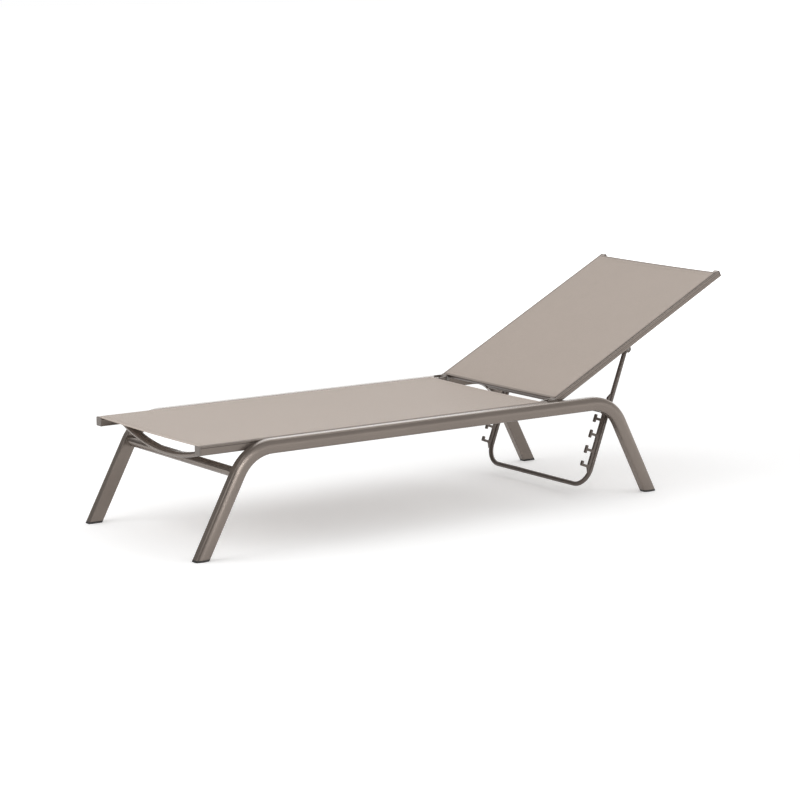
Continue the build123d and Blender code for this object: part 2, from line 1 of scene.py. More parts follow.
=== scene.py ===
# %% [markdown]
# # A sun lounger with taut slings
# The lounger is a bent aluminium frame with two slings of woven mesh stretched between rails.
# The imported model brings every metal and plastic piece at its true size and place.
# Blender adds what a drawing of solids leaves out: cloth, stitches, welds and finishes.

import json
import math

import bmesh
import bpy
from mathutils import Matrix, Vector


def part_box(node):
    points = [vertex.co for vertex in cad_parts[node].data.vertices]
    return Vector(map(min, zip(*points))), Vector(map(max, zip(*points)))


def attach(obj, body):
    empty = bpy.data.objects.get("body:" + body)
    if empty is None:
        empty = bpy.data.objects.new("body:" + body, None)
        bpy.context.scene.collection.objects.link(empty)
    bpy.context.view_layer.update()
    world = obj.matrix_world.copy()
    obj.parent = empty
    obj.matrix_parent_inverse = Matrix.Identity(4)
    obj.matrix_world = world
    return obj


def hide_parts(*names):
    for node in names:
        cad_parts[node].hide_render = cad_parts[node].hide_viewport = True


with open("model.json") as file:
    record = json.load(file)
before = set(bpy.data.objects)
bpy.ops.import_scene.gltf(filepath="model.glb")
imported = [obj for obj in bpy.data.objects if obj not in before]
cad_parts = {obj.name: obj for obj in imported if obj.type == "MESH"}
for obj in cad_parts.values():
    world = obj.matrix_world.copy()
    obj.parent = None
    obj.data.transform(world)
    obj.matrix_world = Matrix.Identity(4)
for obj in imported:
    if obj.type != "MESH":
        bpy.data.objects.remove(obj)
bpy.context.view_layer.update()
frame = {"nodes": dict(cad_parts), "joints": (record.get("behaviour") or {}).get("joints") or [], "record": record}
cad = frame["nodes"]

# %% [markdown]
# ## Sums on shader sockets
# A finish is a small formula: a base tone, plus a little noise, times a mask. It could be drawn node
# by node, but then the formula is hard to see. Wrapping a socket in a class lets it be written as
# plain arithmetic, and each sign adds the Math node that it stands for.

# %% A socket that can be added and multiplied
class Wire:
    def __init__(self, finish, socket):
        self.finish = finish
        self.socket = socket

    def __add__(self, other):
        return self.finish.maths("ADD", self, other)

    def __radd__(self, other):
        return self.finish.maths("ADD", other, self)

    def __sub__(self, other):
        return self.finish.maths("SUBTRACT", self, other)

    def __rsub__(self, other):
        return self.finish.maths("SUBTRACT", other, self)

    def __mul__(self, other):
        return self.finish.maths("MULTIPLY", self, other)

    def __rmul__(self, other):
        return self.finish.maths("MULTIPLY", other, self)

    def __abs__(self):
        return self.finish.maths("ABSOLUTE", self)


signs = ("add", "sub", "mul")
print("signs that also take a number first:", [s for s in signs if hasattr(Wire, f"__r{s}__")])

# %% [markdown]
# ## A finish and its nodes
# Every node of a finish comes from one method, which takes the node's type, its settings and what
# goes into its sockets. The shorter methods below it only name the few nodes that come again and
# again. A material and the world both own a node tree, so one class serves both.

# %% The nodes of a finish
class Finish:
    def __init__(self, owner):
        self.owner = owner
        owner.use_nodes = True
        owner.node_tree.nodes.clear()

    def node(self, kind, settings, sockets, out=0):
        made = self.owner.node_tree.nodes.new(kind)
        for name, value in settings.items():
            setattr(made, name, value)
        for name, value in sockets.items():
            if isinstance(value, Wire):
                self.owner.node_tree.links.new(value.socket, made.inputs[name])
            else:
                made.inputs[name].default_value = value
        return Wire(self, made.outputs[out]) if made.outputs else made

    def maths(self, operation, *values):
        return self.node("ShaderNodeMath", {"operation": operation}, dict(enumerate(values)))

    def dot(self, vector, direction):
        return self.node(
            "ShaderNodeVectorMath", {"operation": "DOT_PRODUCT"}, {0: vector, 1: direction}, out=1,
        )

    def place(self, output="Object"):
        return self.node("ShaderNodeTexCoord", {}, {}, out=output)

    def ray(self, kind):
        return self.node("ShaderNodeLightPath", {}, {}, out=kind)

    def stretched(self, place, scale):
        return self.node("ShaderNodeMapping", {}, {"Vector": place, "Scale": scale})

    def noise(self, place, scale, detail=2.0, roughness=0.5):
        sockets = {"Vector": place, "Scale": scale, "Detail": detail, "Roughness": roughness}
        return self.node("ShaderNodeTexNoise", {}, sockets)

    def band(self, value, low, high):
        """Rises smoothly from 0 to 1 as the value goes from low to high."""
        settings = {"interpolation_type": "SMOOTHSTEP"}
        return self.node("ShaderNodeMapRange", settings, {0: value, 1: low, 2: high})

    def blend(self, mask, first, second):
        sockets = {0: mask, 6: first, 7: second}
        return self.node("ShaderNodeMix", {"data_type": "RGBA"}, sockets, out=2)

    def bump(self, height, strength, distance):
        sockets = {"Height": height, "Strength": strength, "Distance": distance}
        return self.node("ShaderNodeBump", {}, sockets)

    def surface(self, sockets):
        shader = self.node("ShaderNodeBsdfPrincipled", {}, sockets)
        self.node("ShaderNodeOutputMaterial", {}, {"Surface": shader})
        return self.owner


def new_finish(name):
    return Finish(bpy.data.materials.new(name))


def shade(colour, factor):
    return tuple(part * factor for part in colour[:3]) + (1.0,)


print("half of mid grey:", shade((0.5, 0.5, 0.5), 0.5))

# %% [markdown]
# ## Powder coat
# The aluminium is sprayed with dry powder and baked. The melt leaves faint orange peel, a few
# millimetres from crest to crest, over a fine grain, with a satin sheen that is duller where hands
# and weather have been. Its shine is a little metallic, so the coat is made about half metallic.
# Two noises of those sizes make the bump, and a wide one drifts the tone. A coat can also have a
# fine groove with a dark line of painted shade and dust, given by a direction and by how far along it the groove
# lies.

# %% Powder coat
PEEL_HEIGHT = 0.00025
GROOVE_CORE = 0.0005
GROOVE_EDGE = 0.0012


def powder_coat(name, colour, satin, peel, metal, groove_normal=None, groove_at=0.0):
    coat = new_finish(name)
    place = coat.place()
    drift = coat.noise(place, scale=2.3, detail=3.0)
    mottle = coat.noise(place, scale=46.0, detail=4.0, roughness=0.62)
    orange_peel = coat.noise(place, scale=420.0, detail=1.5)
    grain = coat.noise(place, scale=2600.0, detail=1.0)
    worn = coat.noise(place, scale=14.0, detail=3.0)
    tone = coat.blend(coat.band(drift, 0.3, 0.7), shade(colour, 0.95), shade(colour, 1.05))
    tone = coat.blend(mottle * 0.25, tone, shade(colour, 1.12))
    height = orange_peel * 0.8 + grain * 0.2
    if groove_normal:
        off_groove = abs(coat.dot(place, groove_normal) - groove_at)
        groove_dust_and_shade = 1 - coat.band(off_groove, GROOVE_CORE, GROOVE_EDGE)
        # The groove's dark line is painted shade, with some dust.
        tone = coat.blend(groove_dust_and_shade * 0.85, tone, shade(colour, 0.12))
        height = height - groove_dust_and_shade * 3.0
    return coat.surface({
        "Base Color": tone,
        "Metallic": metal,
        "Roughness": satin + mottle * 0.05 + worn * 0.05,
        "IOR": 1.5,
        "Normal": coat.bump(height, peel, PEEL_HEIGHT),
    })


print("orange peel, mm high:", PEEL_HEIGHT * 1000)

# %% [markdown]
# ## Moulded plastic
# Glides, end plugs and bearings are moulded. The mould's face is lightly spark-etched, so the
# plastic has a fine even grain and a soft sheen, and it is a little paler where it is scuffed.
# One function serves all of them and the sewing thread, as only tone, sheen and grain differ.

# %% Moulded plastic
ETCHED_GRAIN_HEIGHT = 0.0002


def moulded(name, colour, roughness, grains_per_metre, scuff):
    plastic = new_finish(name)
    place = plastic.place()
    grain = plastic.noise(place, scale=grains_per_metre, detail=2.0)
    cloud = plastic.noise(place, scale=60.0, detail=4.0)
    rubbed = plastic.band(plastic.noise(place, scale=150.0, detail=6.0, roughness=0.75), 0.5, 0.72)
    tone = plastic.blend(cloud, shade(colour, 0.88), shade(colour, 1.14))
    tone = plastic.blend(rubbed * scuff, tone, shade(colour, 2.2))
    return plastic.surface({
        "Base Color": tone,
        "Roughness": roughness + cloud * 0.08 + rubbed * 0.1,
        "IOR": 1.47,
        "Normal": plastic.bump(grain, 0.35, ETCHED_GRAIN_HEIGHT),
    })


print("etched grain, mm high:", ETCHED_GRAIN_HEIGHT * 1000)

# %% [markdown]
# ## Dulled stainless steel
# Screws, rivets and pins are stainless. They are made of drawn wire, which has fine streaks along
# it, and handling dulls them. So the roughness wanders, and a noise that is stretched along the
# pins' axis draws the streaks.

# %% Stainless steel
STREAK_HEIGHT = 0.0001


def stainless(name, colour):
    steel = new_finish(name)
    place = steel.place()
    streaks = steel.noise(steel.stretched(place, (1.0, 0.12, 1.0)), scale=1800.0, detail=3.0)
    cloud = steel.noise(place, scale=90.0, detail=4.0)
    tone = steel.blend(cloud, shade(colour, 0.9), shade(colour, 1.08))
    return steel.surface({
        "Base Color": tone,
        "Metallic": 1.0,
        "Roughness": 0.30 + cloud * 0.16 + streaks * 0.08,
        "Normal": steel.bump(streaks, 0.25, STREAK_HEIGHT),
    })


print("streaks, mm high:", STREAK_HEIGHT * 1000)

# %% [markdown]
# ## Sling mesh
# The cloth is a plain weave of coated polyester yarn, a little over a millimetre from yarn to yarn.
# It is heat-set, so the yarns lie flat and round and small square gaps stay between them. Modelled
# yarn by yarn, the seat's cloth would have half a million crossings, so the finish draws the weave.
# It follows the cloth's own map, which is laid out in metres: u runs across and v along. Sines of
# both give yarns that rise and dip in turn. The gaps between yarns are painted dark, as shade. Over
# the rails the cloth is darker, from dust and from painted shade, and at the slot painted shade makes
# it darker still. At the folds of the hems the back's ends are painted darker as shade and the
# seat's ends lighter as a highlight.

# %% Sling mesh
YARN_PITCH = 0.00125
YARN_HEIGHT = 0.0003
RAIL_REACH = (0.0095, 0.0065)
SLOT_REACH = (0.0035, 0.0010)
FOLD_REACH = (0.0080, 0.0035)


def sling_cloth(name, colour, slot_at, length, edge_shade_share, fold_painted_light):
    cloth = new_finish(name)
    flat = cloth.place("UV")
    across = cloth.node("ShaderNodeSeparateXYZ", {}, {0: flat}, out=0)
    along = cloth.node("ShaderNodeSeparateXYZ", {}, {0: flat}, out=1)

    def wave(value, shift=0.0):
        return cloth.maths("SINE", value * (math.pi / YARN_PITCH) + shift)

    def near(distance, edge, reach):
        """Rises to 1 toward an edge, from the first reach inside it to the second."""
        return cloth.band(distance, edge - reach[0], edge - reach[1])

    warp_round = abs(wave(across))
    weft_round = abs(wave(along))
    over = wave(across, math.pi / 2) * wave(along, math.pi / 2) * 0.5 + 0.5
    height = warp_round * over + weft_round * (1 - over)
    gap_shade = (1 - warp_round) * (1 - weft_round)
    warp_lines = cloth.noise(cloth.stretched(flat, (1.0, 0.02, 1.0)), scale=640.0, detail=1.0)
    weft_lines = cloth.noise(cloth.stretched(flat, (0.02, 1.0, 1.0)), scale=640.0, detail=1.0)
    fleck = warp_lines * over + weft_lines * (1 - over)
    drift = cloth.noise(flat, scale=3.0, detail=3.0)
    rail_dust_and_shade = near(abs(across), slot_at, RAIL_REACH)
    slot_shade = near(abs(across), slot_at, SLOT_REACH)
    fold_light_band = near(abs(along - length / 2), length / 2, FOLD_REACH)

    tone = cloth.blend(fleck, shade(colour, 0.86), shade(colour, 1.14))
    tone = cloth.blend(cloth.band(drift, 0.35, 0.65) * 0.3, tone, shade(colour, 1.04))
    # The gaps between yarns are painted dark, as shade.
    tone = cloth.blend(gap_shade * 0.7, tone, shade(colour, 0.45))
    # Over the rail the cloth is darker from dust and from painted shade, as no light comes up through it there.
    tone = cloth.blend(rail_dust_and_shade * edge_shade_share * 0.4, tone, shade(colour, 0.55))
    # At the folds the tone is painted light: shade on the back's hems, a highlight on the seat's.
    tone = cloth.blend(fold_light_band * 0.75, tone, shade(colour, fold_painted_light))
    # At the slot the cloth is painted much darker, as shade where it goes down into the slot.
    tone = cloth.blend(slot_shade * edge_shade_share, tone, shade(colour, 0.22))
    return cloth.surface({
        "Base Color": tone,
        "Roughness": 0.66 - height * 0.12,
        "IOR": 1.45,
        "Specular IOR Level": 0.22,
        "Normal": cloth.bump(height, 0.5, YARN_HEIGHT),
    })


print("yarns per metre:", round(1 / YARN_PITCH))

# %% [markdown]
# ## Places that the finishes and the slings share
# The slings lie between slots in the rails, and the back's sling and rails tilt about the hinge. These
# few places are written down once, so that the weave, the dark lines and the cloth agree.

# %% Slots, lengths and the tilt of the back
seat_slot_y = 0.2887
back_slot_y = 0.2862
seat_cloth_length = 1.229
back_cloth_length = 0.739
hinge = next(joint for joint in frame["joints"] if joint["name"] == "back_tilt")
hinge_point = Vector(hinge["pos_m"])
back_angle = math.radians(27.5)
back_up = Vector((-math.sin(back_angle), 0.0, math.cos(back_angle)))
print("hinge:", [round(v, 4) for v in hinge_point], "back's up:", [round(v, 3) for v in back_up])

# %% [markdown]
# ## Finishes by material slot
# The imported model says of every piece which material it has. So one finish is made for each slot,
# and its pieces can share it. The frame is a warm grey-brown, the stay is darker, and the slings are
# the palest.

# %% One finish for each slot
coat_colour = (0.215, 0.180, 0.156)
stay_colour = (0.130, 0.106, 0.092)
casting_colour = (0.170, 0.142, 0.122)
cloth_colour = (0.468, 0.399, 0.349)

finishes = {
    "frame_coat": powder_coat("frame_coat_satin", coat_colour, satin=0.20, peel=0.20, metal=0.55),
    "stay_coat": powder_coat("stay_coat_satin", stay_colour, satin=0.24, peel=0.25, metal=0.45),
    "hinge_casting": powder_coat(
        "hinge_casting_coat", casting_colour, satin=0.34, peel=0.50, metal=0.20,
    ),
    "glide_plastic": moulded(
        "glide_plastic_black", (0.030, 0.028, 0.026), roughness=0.42, grains_per_metre=2200.0, scuff=0.25,
    ),
    "cap_plastic": moulded(
        "cap_plastic_taupe", (0.165, 0.141, 0.124), roughness=0.36, grains_per_metre=2600.0, scuff=0.08,
    ),
    "rod_plastic": moulded(
        "rod_plastic_grey", (0.18, 0.18, 0.18), roughness=0.45, grains_per_metre=1800.0, scuff=0.1,
    ),
    "bearing_plastic": moulded(
        "bearing_plastic_black", (0.035, 0.035, 0.035), roughness=0.38, grains_per_metre=2400.0, scuff=0.1,
    ),
    "fastener_steel": stainless("fastener_steel_dull", (0.22, 0.208, 0.195)),
    "seat_fabric": sling_cloth(
        "seat_sling_mesh", cloth_colour, seat_slot_y, seat_cloth_length, edge_shade_share=0.50, fold_painted_light=1.14,
    ),
    "back_fabric": sling_cloth(
        "back_sling_mesh", cloth_colour, back_slot_y, back_cloth_length, edge_shade_share=0.80, fold_painted_light=0.50,
    ),
}
thread = moulded(
    "sewing_thread_taupe", (0.40, 0.335, 0.285), roughness=0.55, grains_per_metre=3000.0, scuff=0.1,
)
print("finishes:", len(finishes))

# %% [markdown]
# ## Coats of single pieces
# A few pieces need a coat of their own. Each rail has a fine dark line along its side, painted shade
# with some dust: on the back rail it is an edge of its side groove, and on the seat rail a seam a
# little below the top. A line so thin is drawn by the coat. The seat rails and the bar at the back's
# lower end are painted darker, as shade from the cloth, so their coats are darker than the frame's.

# %% Coats of single pieces
BACK_GROOVE_OVER_HINGE = 0.0024
SEAT_GROOVE_BELOW_TOP = 0.0060

seat_rail_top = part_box("seat_rail_right")[1][2]
back_rail_coat = powder_coat(
    "back_rail_coat_groove_shade", coat_colour, satin=0.20, peel=0.20, metal=0.55,
    groove_normal=tuple(back_up), groove_at=hinge_point.dot(back_up) + BACK_GROOVE_OVER_HINGE,
)
# The seat rails' darker coat is painted shade from the cloth above them.
seat_rail_coat = powder_coat(
    "seat_rail_coat_painted_shade", shade(coat_colour, 0.88), satin=0.20, peel=0.20, metal=0.55,
    groove_normal=(0.0, 0.0, 1.0), groove_at=seat_rail_top - SEAT_GROOVE_BELOW_TOP,
)
# The bottom bar's dark coat is painted shade from the back's sling.
bottom_bar_coat_painted_shade = powder_coat(
    "bottom_bar_coat_painted_shade", (0.120, 0.094, 0.082), satin=0.30, peel=0.20, metal=0.40,
)
finish_of_node = {
    "back_rail_left": back_rail_coat,
    "back_rail_right": back_rail_coat,
    "back_bottom_bar": bottom_bar_coat_painted_shade,
    "seat_rail_left": seat_rail_coat,
    "seat_rail_right": seat_rail_coat,
}
slot_of = {part["node"]: part["material_slot"] for part in frame["record"]["subparts"]}
for name, piece in cad.items():
    for place in piece.material_slots:
        place.material = finish_of_node.get(name, finishes[slot_of[name]])
print("nodes with a finish:", len(slot_of), "of their own:", len(finish_of_node))

# %% [markdown]
# ## The path of a sling
# A sling is cut flat. Its two sides are sewn round a rod that slides into the rail's channel, and its
# two ends are turned under and stitched. A cloth simulation could pull it tight, but tight cloth
# has a known shape. So each point of the flat cloth is led there instead: over the rail, down
# through the slot and round the rod, with its length unchanged.

# %% Sizes of the slings
CLOTH_THICKNESS = 0.0008
CLOTH_LIFT = 0.0007
SLOT_BEND = 0.0012
CHANNEL_DEPTH = 0.0055
LOOP_RADIUS = 0.0028
LOOP_TURN = math.radians(285)
HEM_LENGTH = 0.022
HEM_TURN_RADIUS = 0.0008
BEND_LENGTH = SLOT_BEND * math.pi / 2
DOWN_RUN = CHANNEL_DEPTH - LOOP_RADIUS + CLOTH_LIFT - SLOT_BEND


# %% Where a point of the flat cloth goes across the lounger
def across_path(distance, slot_y):
    """Y and height over the rail's top of a point at a flat distance from the middle."""
    side = math.copysign(1.0, distance)
    left = abs(distance)
    top_run = slot_y - SLOT_BEND
    if left <= top_run:
        return side * left, CLOTH_LIFT
    left -= top_run
    if left <= BEND_LENGTH:
        turn = left / SLOT_BEND
        drop = SLOT_BEND * (1 - math.cos(turn))
        return side * (top_run + SLOT_BEND * math.sin(turn)), CLOTH_LIFT - drop
    left -= BEND_LENGTH
    if left <= DOWN_RUN:
        return side * slot_y, CLOTH_LIFT - SLOT_BEND - left
    turn = (left - DOWN_RUN) / LOOP_RADIUS
    height = LOOP_RADIUS * math.cos(turn) - CHANNEL_DEPTH
    return side * (slot_y + LOOP_RADIUS * math.sin(turn)), height


def flat_half_width(slot_y):
    return slot_y - SLOT_BEND + BEND_LENGTH + DOWN_RUN + LOOP_RADIUS * LOOP_TURN


print("seat cloth's half width, mm:", round(flat_half_width(seat_slot_y) * 1000, 1))

# %% [markdown]
# ## The sag of a sling
# Even a taut sling hangs a few millimetres lower in its middle than at its rails. The doubled ends
# hang least. A parabola across and a soft arch along come close to what a pulled mesh does.

# %% How far a point sags
SAG_AT_ENDS = 0.62
SAG_ARCH = 0.7


def sag(across, along, length, slot_y, depth):
    share = min(abs(across) / slot_y, 1.0)
    way = min(max(along / length, 0.0), 1.0)
    arch = SAG_AT_ENDS + (1 - SAG_AT_ENDS) * math.sin(math.pi * way) ** SAG_ARCH
    return depth * (1 - share ** 2) * arch


print("share of the sag at an end:", sag(0.0, 0.0, 1.0, 1.0, 1.0))

# %% [markdown]
# ## From a mesh to a piece
# Whatever is built here is a real piece of the lounger. So it rides one of the lounger's bodies,
# the frame, the back or the stay, and turns with it. Its finish is the one made for the material
# slot that it is given, unless it brings a finish of its own. One helper does this for every piece,
# so that none is forgotten.

# %% A finished mesh becomes a piece
def new_piece(name, builder, body, slot, finish=None):
    mesh = bpy.data.meshes.new(name)
    builder.to_mesh(mesh)
    builder.free()
    for face in mesh.polygons:
        face.use_smooth = True
    piece = bpy.data.objects.new(name, mesh)
    bpy.context.scene.collection.objects.link(piece)
    mesh.materials.append(finish or finishes[slot])
    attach(piece, body)
    return piece


# %% [markdown]
# ## Stitches
# A hem is held by two rows of lock stitches. Each shows as a short thread lying on the cloth. One
# stitch is made and doubled seven times into a row of 128, and the row is copied to the second row
# and to the other end. Each stitch has only a few faces, as there are hundreds of them.

# %% Stitch rows through the hems
STITCH_ROWS = (0.0160, 0.0190)
STITCH_DOUBLINGS = 7
STITCH_SIDE_MARGIN = 0.006
STITCH_HALF_WIDTH = 0.00032
STITCH_HALF_HEIGHT = 0.00026
STITCH_SHARE_OF_PITCH = 0.43


def make_stitches(name, slot_y, length, depth, to_place, body, slot):
    builder = bmesh.new()
    reach = slot_y - STITCH_SIDE_MARGIN
    pitch = 2 * reach / 2 ** STITCH_DOUBLINGS
    half_sizes = (STITCH_HALF_WIDTH, pitch * STITCH_SHARE_OF_PITCH, STITCH_HALF_HEIGHT, 1.0)
    first_place = Matrix.Translation((STITCH_ROWS[0], pitch / 2 - reach, 0))
    bmesh.ops.create_uvsphere(
        builder, u_segments=6, v_segments=4, radius=1.0, matrix=first_place @ Matrix.Diagonal(half_sizes),
    )
    moves = [(0, pitch * 2 ** k, 0) for k in range(STITCH_DOUBLINGS)]
    moves += [(STITCH_ROWS[1] - STITCH_ROWS[0], 0, 0), (length - sum(STITCH_ROWS), 0, 0)]
    for move in moves:
        copy = bmesh.ops.duplicate(builder, geom=builder.verts[:] + builder.edges[:] + builder.faces[:])
        copied = [item for item in copy["geom"] if isinstance(item, bmesh.types.BMVert)]
        bmesh.ops.translate(builder, verts=copied, vec=move)
    on_cloth = CLOTH_LIFT + CLOTH_THICKNESS / 2
    for vertex in builder.verts:
        vertex.co.z += on_cloth - sag(vertex.co.y, vertex.co.x, length, slot_y, depth)
    bmesh.ops.transform(builder, matrix=to_place, verts=builder.verts)
    return new_piece(name, builder, body, slot, thread)


print("stitches in a row:", 2 ** STITCH_DOUBLINGS)

# %% [markdown]
# ## The cloth of a sling
# The mesh starts as a flat grid, with narrow columns where the cloth bends round the slot and the rod.
# Each point keeps its flat place, which becomes the map that the weave is drawn on. The ends are
# then extruded round and back under, as a hem is folded. Solidify gives the cloth its thickness.

# %% The grid, led along its path
HALF_COLUMNS = 22
BEND_COLUMNS = 34
ROWS = 64


def led_grid(slot_y, length):
    """The cloth's mesh, with the flat place of each point kept in two layers."""
    half = flat_half_width(slot_y)
    top_run = slot_y - SLOT_BEND
    side = [top_run * k / HALF_COLUMNS for k in range(HALF_COLUMNS + 1)]
    side += [top_run + (half - top_run) * k / BEND_COLUMNS for k in range(1, BEND_COLUMNS + 1)]
    columns = [-v for v in reversed(side[1:])] + side
    last_column = len(columns) - 1
    cloth = bmesh.new()
    bmesh.ops.create_grid(cloth, x_segments=last_column, y_segments=ROWS, size=1.0)
    flat_across = cloth.verts.layers.float.new("flat_across")
    flat_along = cloth.verts.layers.float.new("flat_along")
    for vertex in cloth.verts:
        column = columns[round((vertex.co.x + 1) / 2 * last_column)]
        row = length * round((vertex.co.y + 1) / 2 * ROWS) / ROWS
        vertex[flat_across], vertex[flat_along] = column, row
        vertex.co = (row, *across_path(column, slot_y))
    return cloth, flat_across, flat_along


print("cells in one grid:", 2 * (HALF_COLUMNS + BEND_COLUMNS) * ROWS)

# %% A hem, folded under
HEM_STEPS = 6
NEARLY = 1e-6


def fold_hem(cloth, flat_across, flat_along, end, direction, top_run):
    edges = [
        edge for edge in cloth.edges
        if all(
            abs(v[flat_along] - end) < NEARLY and abs(v[flat_across]) <= top_run + NEARLY
            for v in edge.verts
        )
    ]
    turn_length = math.pi * HEM_TURN_RADIUS
    steps = [turn_length / HEM_STEPS] * HEM_STEPS + [HEM_LENGTH / HEM_STEPS] * HEM_STEPS
    walked = 0.0
    for index, step in enumerate(steps):
        grown = bmesh.ops.extrude_edge_only(cloth, edges=edges)["geom"]
        edges = [item for item in grown if isinstance(item, bmesh.types.BMEdge)]
        walked += step
        turn = math.pi * min(index + 1, HEM_STEPS) / HEM_STEPS
        back = max(0.0, walked - turn_length)
        for vertex in {v for edge in edges for v in edge.verts}:
            vertex.co.x = end + direction * (HEM_TURN_RADIUS * math.sin(turn) - back)
            vertex.co.z = CLOTH_LIFT - HEM_TURN_RADIUS * (1 - math.cos(turn))
            vertex[flat_along] = end + direction * walked


print("rows in a hem:", 2 * HEM_STEPS)


# %% One sling
LOWEST_SAGGING = -CLOTH_LIFT * 2


def make_sling(name, node, slot_y, length, depth, to_place, body, slot):
    top_run = slot_y - SLOT_BEND
    cloth, flat_across, flat_along = led_grid(slot_y, length)
    for end, direction in ((0.0, -1), (length, 1)):
        fold_hem(cloth, flat_across, flat_along, end, direction, top_run)
    flat_map = cloth.loops.layers.uv.new("flat")
    for face in cloth.faces:
        for corner in face.loops:
            corner[flat_map].uv = (corner.vert[flat_across], corner.vert[flat_along])
    for vertex in cloth.verts:
        if vertex.co.z > LOWEST_SAGGING:
            vertex.co.z -= sag(vertex.co.y, vertex.co.x, length, top_run, depth)
    cloth.normal_update()
    if sum(face.normal.z * face.calc_area() for face in cloth.faces) < 0:
        bmesh.ops.reverse_faces(cloth, faces=cloth.faces)
    bmesh.ops.transform(cloth, matrix=to_place, verts=cloth.verts)
    piece = new_piece(name, cloth, body, slot)
    body_of_cloth = piece.modifiers.new("cloth body", "SOLIDIFY")
    body_of_cloth.thickness = CLOTH_THICKNESS
    body_of_cloth.offset = 0.0
    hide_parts(node)
    stitches = make_stitches(
        name.replace("cloth", "stitches"), top_run, length, depth, to_place, body, slot,
    )


print("the sag stops, mm below the rail's top:", round(-LOWEST_SAGGING * 1000, 1))

# %% [markdown]
# ## The seat's sling
# The seat's sling lies level on the tops of the two seat rails, from the foot end to the hinge. It
# carries the most weight and is the longer one, so it sags a little more than the back's.

# %% Seat sling
SEAT_SAG = 0.0045

seat_low, seat_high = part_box("seat_sling")
seat_length = seat_high[0] - seat_low[0]
seat_place = Matrix.Translation((seat_low[0], 0, seat_rail_top))
make_sling(
    "seat_sling_cloth", "seat_sling", seat_slot_y, seat_length, SEAT_SAG, seat_place, "frame",
    "seat_fabric",
)

# %% [markdown]
# ## The back's sling
# The back's sling is made flat like the seat's, then moved to the hinge and tilted with the rails.
# It rides the back, so it turns whole and no cloth is stretched between two bodies.

# %% Back sling
BACK_RAIL_HALF_DEPTH = 0.010
BACK_CLOTH_START = 0.008
BACK_SAG = 0.0030

back_place = (
    Matrix.Translation(hinge_point)
    @ Matrix.Rotation(-back_angle, 4, "Y")
    @ Matrix.Translation((BACK_CLOTH_START, 0, BACK_RAIL_HALF_DEPTH))
)
make_sling(
    "back_sling_cloth", "back_sling", back_slot_y, back_cloth_length, BACK_SAG, back_place, "back",
    "back_fabric",
)

# %% [markdown]
# ## Fasteners with real heads
# A drawn rivet is a disc on a pin. A set rivet has a low dome, and a furniture screw has a rounded
# head with a socket. The places and sizes are read from the drawn fasteners, so the new ones sit
# where those were. Each is a short outline, turned once round its axis.

# %% Where the fasteners of a node sit
def islands(node):
    """Each separate solid of a node as its list of points."""
    scratch = bmesh.new()
    scratch.from_mesh(cad[node].data)
    bmesh.ops.transform(scratch, matrix=cad[node].matrix_world, verts=scratch.verts)
    bmesh.ops.remove_doubles(scratch, verts=scratch.verts, dist=NEARLY)
    left = set(scratch.verts)
    found = []
    while left:
        group, to_visit = set(), [left.pop()]
        while to_visit:
            vertex = to_visit.pop()
            group.add(vertex)
            for edge in vertex.link_edges:
                other = edge.other_vert(vertex)
                if other in left:
                    left.discard(other)
                    to_visit.append(other)
        found.append([vertex.co.copy() for vertex in group])
    scratch.free()
    return found


def extent(points):
    low = Vector([min(p[k] for p in points) for k in range(3)])
    high = Vector([max(p[k] for p in points) for k in range(3)])
    return low, high


print("hinge rivets found:", len(islands("hinge_rivets")))

# %% Turn an outline round an axis along Y
TURNED_STEPS = 28


def turned(builder, outline, centre_x, centre_z):
    """The outline is a list of (radius, y) from one end of the axis to the other."""
    ring = [builder.verts.new((centre_x + radius, y, centre_z)) for radius, y in outline]
    edges = [builder.edges.new(pair) for pair in zip(ring, ring[1:])]
    bmesh.ops.spin(
        builder, geom=ring + edges, cent=(centre_x, 0, centre_z), axis=(0, 1, 0),
        angle=math.tau, steps=TURNED_STEPS, use_merge=True,
    )


print("degrees a step:", round(360 / TURNED_STEPS, 1))

# %% [markdown]
# ## The outline of a fastener
# The wider end of a drawn fastener is its head, and the next level in from there is the head's
# underside. The dome is a quarter of an ellipse in a few steps. Dome and socket are shares of the
# head's height, so one function makes rivets and screws of any size. The faces are shaded smooth, and
# a split by angle keeps the rims crisp.

# %% The outline of one fastener
END_BAND = 2e-4
TAIL_CHAMFER = 0.0004
DOME_STEPS = 6
SOCKET_FLOOR = 0.42
SOCKET_MOUTH = 0.46
SOCKET_TURN = 1.2


def fastener_outline(points, dome, socket):
    """From the head's middle over its dome and rim, then along the shank to the tail's middle."""
    low, high = extent(points)
    middle = (low + high) / 2
    head_radius = (high.x - low.x) / 2
    radius_at = {}
    for y in (low.y, high.y):
        end = [p for p in points if abs(p.y - y) < END_BAND]
        radius_at[y] = max(math.hypot(p.x - middle.x, p.z - middle.z) for p in end)
    head_y = max(radius_at, key=radius_at.get)
    tail_y = min(radius_at, key=radius_at.get)
    inward = math.copysign(1.0, tail_y - head_y)
    levels = sorted({round(p.y, 5) for p in points})
    under = levels[1] if inward > 0 else levels[-2]
    shank = radius_at[tail_y]
    height = abs(under - head_y) * inward
    outline = [(0.0, head_y + height * socket)]
    if socket:
        outline += [
            (head_radius * SOCKET_FLOOR, head_y + height * socket),
            (head_radius * SOCKET_MOUTH, head_y),
        ]
    skipped = SOCKET_TURN * bool(socket)
    for k in range(DOME_STEPS + 1):
        turn = math.pi / 2 * (k + skipped) / (DOME_STEPS + skipped)
        outline.append((head_radius * math.sin(turn), head_y + height * dome * (1 - math.cos(turn))))
    outline += [(head_radius, under), (shank, under), (shank, tail_y - inward * TAIL_CHAMFER)]
    outline += [(shank - TAIL_CHAMFER, tail_y), (0.0, tail_y)]
    return outline, middle


print("points on a dome:", DOME_STEPS + 1)


